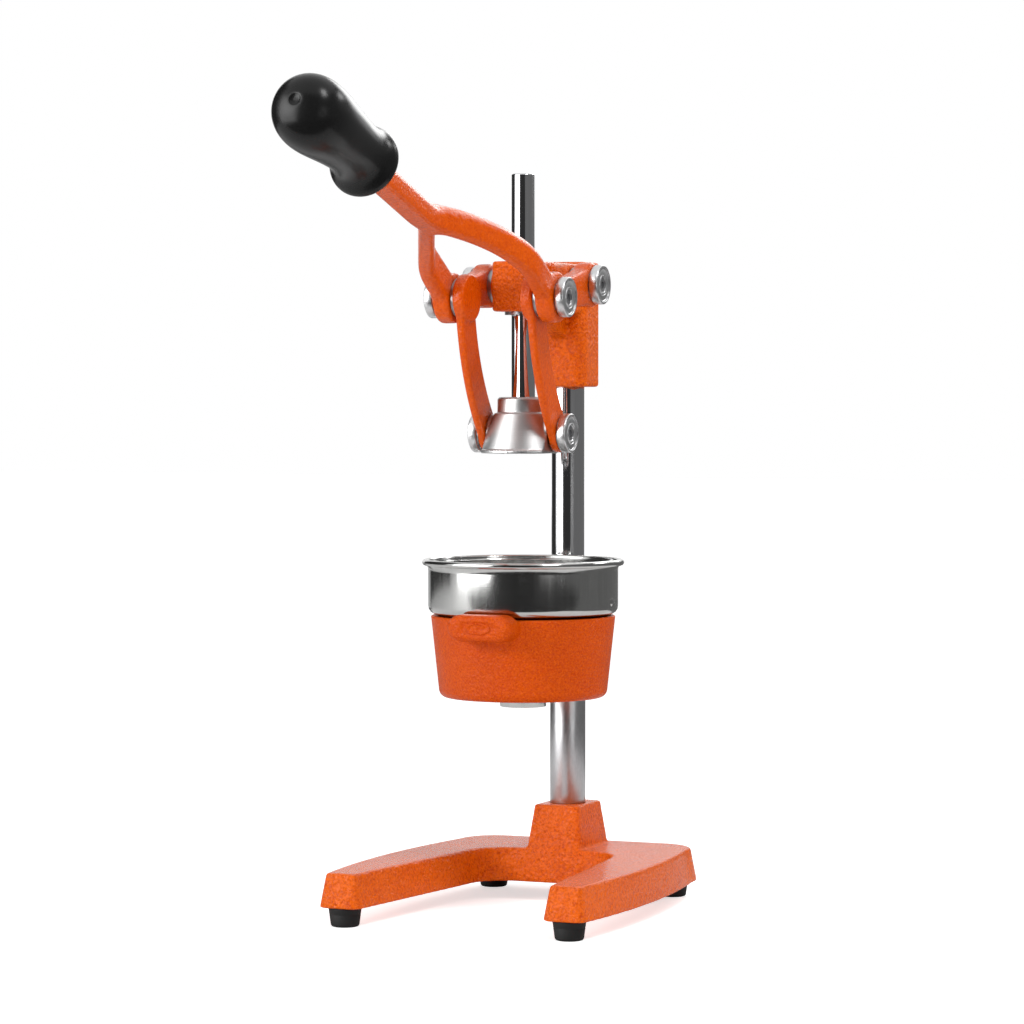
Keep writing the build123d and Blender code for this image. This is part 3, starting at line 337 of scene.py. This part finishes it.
for side, way in (("left", -1), ("right", 1)):
    dimple = turned(f"bowl_dimple_{side}",
                    [(3.1, -0.3), (3.1, 0.0), (2.5, 0.35), (1.7, 0.75), (0.9, 0.98), (0.3, 1.05)],
                    (way * wall / 1000, bowl_y, (step + 10) / 1000), (0, way * pi / 2, 0), steps=32)
    fit(dimple, brushed, "bowl_steel", "cup")
dress(brushed, "strainer")

cast_alloy, place = begin("satin_alloy")
rings = noise(stretched(place, 12.0, 1500.0), 1.0, 2.0)
mist = noise(place, 1500.0, 2.0)
lay(place, {"Base Color": between((0.42, 0.42, 0.42), (0.56, 0.56, 0.56), rings * 0.5 + mist * 0.5),
            "Metallic": 1.0, "Roughness": 0.33 + 0.12 * mist,
            "Normal": relief(rings * 0.4 + mist * 0.6, 0.00003)})
fit(soft_casting("reamer", 0.0006, 3), cast_alloy, "bell_aluminium", "cup", "reamer")

# ---- Head casting
# The nose that guides the plunger, the cross boss for the lever's shaft and the column clamp,
# cast in one and pinched on the column by two hex screws at the back.

fit(soft_casting("head_casting", 0.0009, 8), hammered, "orange_cast", "frame", "head_casting")
dress(zinc, "head_clamp_screw_lower", "head_clamp_screw_upper", "rod_bush")

brass, place = begin("bearing_brass")
wear = noise(place, 300.0, 3.0)
lay(place, {"Base Color": between((0.40, 0.25, 0.07), (0.58, 0.38, 0.13), wear), "Metallic": 1.0,
            "Roughness": 0.25 + 0.2 * wear, "Normal": relief(wear, 0.00001)})
dress(brass, "shaft_bush_left", "shaft_bush_right")

# ---- Plunger: rod and press bell
# The rod is chromed bar that slides in the nose. The bell is turned aluminium with two flats
# for the links, held on the rod's end by a set screw behind its collar.

rod_x, rod_y, _ = middle("plunger_rod")
low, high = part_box("plunger_rod")
foot, top = low[2] * 1000, high[2] * 1000
rod_r = 8.75
rod = turned("chrome_rod", [(rod_r - 1.0, foot), (rod_r, foot + 1), (rod_r, top - 1.0),
                            (rod_r - 0.35, top - 0.4), (rod_r - 1.0, top)],
             (rod_x, rod_y, 0), steps=96)
fit(rod, chrome, "chrome", "plunger", "plunger_rod")
fit(soft_casting("press_bell", 0.0006, 3), cast_alloy, "bell_aluminium", "plunger", "press_bell")
dress(zinc, "bell_set_screw")

# ---- Links
# Two cast bars, bowed to the front, that pull the bell down as the lever drops.
# Their enamel is smoother than the base's, with a light orange peel.

# Painted light: its pebbles get mild painted shade and highlight (0.8); its tone (0.38) sits between the
# base's painted-pale and the cup's painted-dark orange.
glossy = enamel("glossy_orange", 0.38, 0.8, 0.0014, 0.0006, 0.13, 0.26)
for side in ("left", "right"):
    fit(soft_casting(f"link_{side}", 0.0007, 14), glossy, "orange_smooth", f"link_{side}", f"link_{side}")

# ---- Lever casting
# A square bar that opens into a round yoke, with two arms that drop to the pivot eyes.
# Its bevelled upper edges are relaxed further than the other castings' edges.

fit(soft_casting("lever_casting", 0.0011, 24), glossy, "orange_smooth", "lever", "lever_casting")

# ---- Pins, spacers and washers of the linkage
# Turned and plated steel: the cross shaft, the front and lower pins, the rings that keep the
# arms and links apart, and the screws of the caps.

for side in ("left", "right"):
    dress(zinc, f"front_pin_{side}", f"lower_pin_{side}", f"front_spacer_{side}", f"rear_spacer_{side}",
          f"rear_washer_{side}", f"front_washer_{side}", f"lower_washer_{side}", f"rear_cap_screw_{side}",
          f"front_cap_screw_{side}", f"lower_cap_screw_{side}")
dress(zinc, "pivot_shaft")

# ---- Pivot caps
# Each pivot ends in a turned steel cap: a bright rim, a groove, a dished grey face and a bore
# for its socket screw.

turned_steel, place = begin("turned_steel")
mottle = noise(place, 420.0, 3.0)
lay(place, {"Base Color": between((0.50, 0.50, 0.505), (0.80, 0.80, 0.805), mottle), "Metallic": 1.0,
            "Roughness": 0.25 + 0.16 * mottle, "Normal": relief(mottle, 0.00004)})
for name, body in (("rear", "lever"), ("front", "link_{}"), ("lower", "plunger")):
    for side, way in (("left", -1), ("right", 1)):
        low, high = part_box(f"{name}_cap_{side}")
        near = min(abs(low[0]), abs(high[0]))
        _, y, z = middle(f"{name}_cap_{side}")
        screw_hole, cap_r, thick = 3.05, 14.5, 6.4
        button = turned(f"{name}_button_{side}",
                        [(screw_hole, 0.0), (cap_r - 0.8, 0.0), (cap_r - 0.3, 0.2), (cap_r, 0.7),
                         (cap_r, thick - 0.9), (cap_r - 0.2, thick - 0.35), (cap_r - 0.6, thick),
                         (12.9, thick), (12.6, 6.2), (12.4, 5.2), (12.0, 4.9), (11.6, 5.1), (11.3, 5.75),
                         (10.9, 5.9), (8.1, 5.9), (7.7, 5.6), (7.3, 5.6), (6.9, 6.0), (5.9, 6.0),
                         (5.4, 5.6), (5.25, 2.6), (screw_hole, 2.6), (screw_hole, 0.0)],
                        (way * near, y, z), (0, way * pi / 2, 0), hollow=True)
        fit(button, turned_steel, "cap_steel", body.format(side), f"{name}_cap_{side}")

# ---- Grip
# A glossy black moulding pushed on the bar's tang: a rounded collar, a waist and a big bulb,
# with the small dimple of its mould gate in the end.

gloss_black, place = begin("gloss_black")
haze = noise(place, 34.0, 3.0)
lay(place, {"Base Color": between((0.006, 0.006, 0.006), (0.011, 0.011, 0.011), haze),
            "Specular IOR Level": 0.20, "Roughness": 0.19 + 0.12 * haze,
            "Normal": relief(noise(place, 700.0, 2.0), 0.00002)})
rise = radians(18)
tang_r, tang_deep = 9.1, 60.0
collar_y, collar_z = column_y - 0.358, 0.5375
handle = turned("grip_moulding",
                [(tang_r, tang_deep), (tang_r, 0.3), (10.5, 0.0), (18.5, 0.0, -0.6), (22.8, 1.0, -0.8),
                 (25.0, 4.2, -0.8), (24.9, 8.2, -0.5), (22.4, 12.2, 0.5), (20.7, 17.5, 1.7),
                 (20.3, 26.0, 2.1), (21.1, 37.0, 2.0), (22.4, 49.0, 1.7), (24.0, 62.0, 1.2),
                 (25.5, 75.0, 0.5), (26.2, 87.0), (25.4, 96.5), (22.9, 104.2), (18.6, 110.3),
                 (12.9, 114.0), (7.2, 115.7), (4.3, 116.1), (3.7, 115.6), (2.4, 115.0), (0.8, 114.9)],
                (0, collar_y, collar_z), (pi / 2 - rise, 0, 0), steps=48)
rounding = handle.modifiers.new("rounding", "SUBSURF")
rounding.levels = rounding.render_levels = 2
bpy.ops.object.modifier_apply(modifier="rounding")
bpy.ops.object.shade_smooth()
fit(handle, gloss_black, "black_grip", "lever", "grip")

# ---- Floor, room and lamps
# A pale floor, a white room and four soft lamps. Round the part stand curved screens, with mats
# before them, that only polished surfaces see: they give the metal its dark and bright bands.

bpy.ops.object.select_all(action="DESELECT")
bpy.ops.mesh.primitive_plane_add(size=24, location=(0, 0, 0))
floor = bpy.context.object
floor.name = "floor"
pale, place = begin("pale_floor")
path = place.node("ShaderNodeLightPath", {}, {}, "Is Camera Ray")
lay(place, {"Base Color": (0.86, 0.86, 0.86, 1), "Roughness": 0.9, "Emission Strength": 1.0,
            "Emission Color": between((0.0, 0.0, 0.0), (0.62, 0.62, 0.62), path)})
floor.data.materials.append(pale)


def glowing(name, grey, strength=1.0):
    """A paint that gives off its own even light."""
    paint, place = begin(name)
    glow = place.node("ShaderNodeEmission", {}, {"Color": (grey, grey, grey, 1), "Strength": strength})
    place.node("ShaderNodeOutputMaterial", {}, {"Surface": glow})
    return paint


def show_in_polish(piece, paint):
    """Paints a piece of the stage that only reflections show."""
    piece.data.materials.append(paint)
    for ray in ("camera", "diffuse", "shadow", "transmission", "volume_scatter"):
        setattr(piece, f"visible_{ray}", False)


dark_paint, grey_paint = glowing("dark_screen", 0.035), glowing("grey_screen", 0.17)
bright_paint = glowing("bright_screen", 1.0, 5.0)
view_turn, screen_r, under_floor = radians(22.868), 2.2, -0.5
camera_side = view_turn - pi / 2
for name, paint, start, end, bottom, top in (
        ("front_screen", dark_paint, -36, 18, under_floor, 2.7),
        ("right_screen", grey_paint, 18, 142, under_floor, 2.7),
        ("left_screen", dark_paint, -150, -94, under_floor, 2.7),
        ("soft_screen", bright_paint, -82, -40, under_floor, 1.9),
        ("rear_screen", grey_paint, 142, 165, under_floor, 0.7),
        ("rim_screen", bright_paint, 148, 172, 1.0, 2.0)):
    bpy.ops.object.select_all(action="DESELECT")
    bpy.ops.mesh.primitive_cylinder_add(vertices=90, radius=screen_r, depth=top - bottom,
                                        end_fill_type="NOTHING",
                                        location=(column_x, column_y, (bottom + top) / 2))
    screen = bpy.context.object
    screen.name = name
    bpy.ops.object.mode_set(mode="EDIT")
    bpy.ops.mesh.select_all(action="DESELECT")
    bpy.ops.object.mode_set(mode="OBJECT")
    for face in screen.data.polygons:
        turn = (atan2(face.center.y, face.center.x) - camera_side + pi) % (2 * pi) - pi
        face.select = not radians(start) <= turn <= radians(end)
    bpy.ops.object.mode_set(mode="EDIT")
    bpy.ops.mesh.select_mode(type="FACE")
    bpy.ops.mesh.delete(type="FACE")
    bpy.ops.object.mode_set(mode="OBJECT")
    show_in_polish(screen, paint)

mat_away, mat_size = 1.35, (1.6, 2.8, 1.0)
for name, paint, bearing, height in (
        ("front_mat", dark_paint, 0, 0.003), ("right_mat", grey_paint, 88, 0.002),
        ("rear_mat", grey_paint, 152, 0.001)):
    turn = camera_side + radians(bearing)
    spot = (column_x + mat_away * cos(turn), column_y + mat_away * sin(turn), height)
    bpy.ops.object.select_all(action="DESELECT")
    bpy.ops.mesh.primitive_plane_add(size=1.0, rotation=(0, 0, turn), location=spot)
    mat = bpy.context.object
    mat.name, mat.scale = name, mat_size
    bpy.ops.object.transform_apply(location=False, rotation=False, scale=True)
    show_in_polish(mat, paint)

room = bpy.data.worlds.new("room")
bpy.context.scene.world = room
room.use_nodes = True
room.node_tree.nodes.clear()
air = Shade(room.node_tree)
seen = sum((air.node("ShaderNodeLightPath", {}, {}, f"Is {ray} Ray") for ray in ("Glossy", "Transmission")),
           air.node("ShaderNodeLightPath", {}, {}, "Is Camera Ray"))
ambient = 0.46
light = air.node("ShaderNodeBackground", {}, {"Color": (1, 1, 1, 1),
                                              "Strength": ambient + (1 - ambient) * seen})
air.node("ShaderNodeOutputWorld", {}, {"Surface": light})

aim = Vector((0, 0.1, 0.3))
for name, spot, size, power in (
        ("left_lamp", (-1.5, -1.8, 1.1), 0.7, 31.0), ("high_lamp", (1.25, -0.45, 2.1), 0.6, 18.0),
        ("fill_lamp", (1.8, -1.2, 0.5), 0.5, 7.0), ("back_lamp", (1.4, 1.9, 1.6), 0.9, 16.0)):
    bpy.ops.object.light_add(type="AREA", location=spot)
    lamp = bpy.context.object
    lamp.name = name
    lamp.data.energy, lamp.data.size = power, size
    lamp.rotation_euler = (aim - Vector(spot)).to_track_quat("-Z", "Y").to_euler()

# ---- Camera
# It stands in front and to the right, a little above the cup, and looks slightly down with a
# long lens, so that the upright edges stay upright. The colours aren't graded.

bpy.ops.object.camera_add(location=(1.07065, -2.43503, 0.39047), rotation=(radians(88.038), 0, view_turn))
camera = bpy.context.object
camera.data.lens, camera.data.sensor_width = 132.19, 36.0
bpy.context.scene.camera = camera
bpy.context.scene.view_settings.view_transform = "Standard"
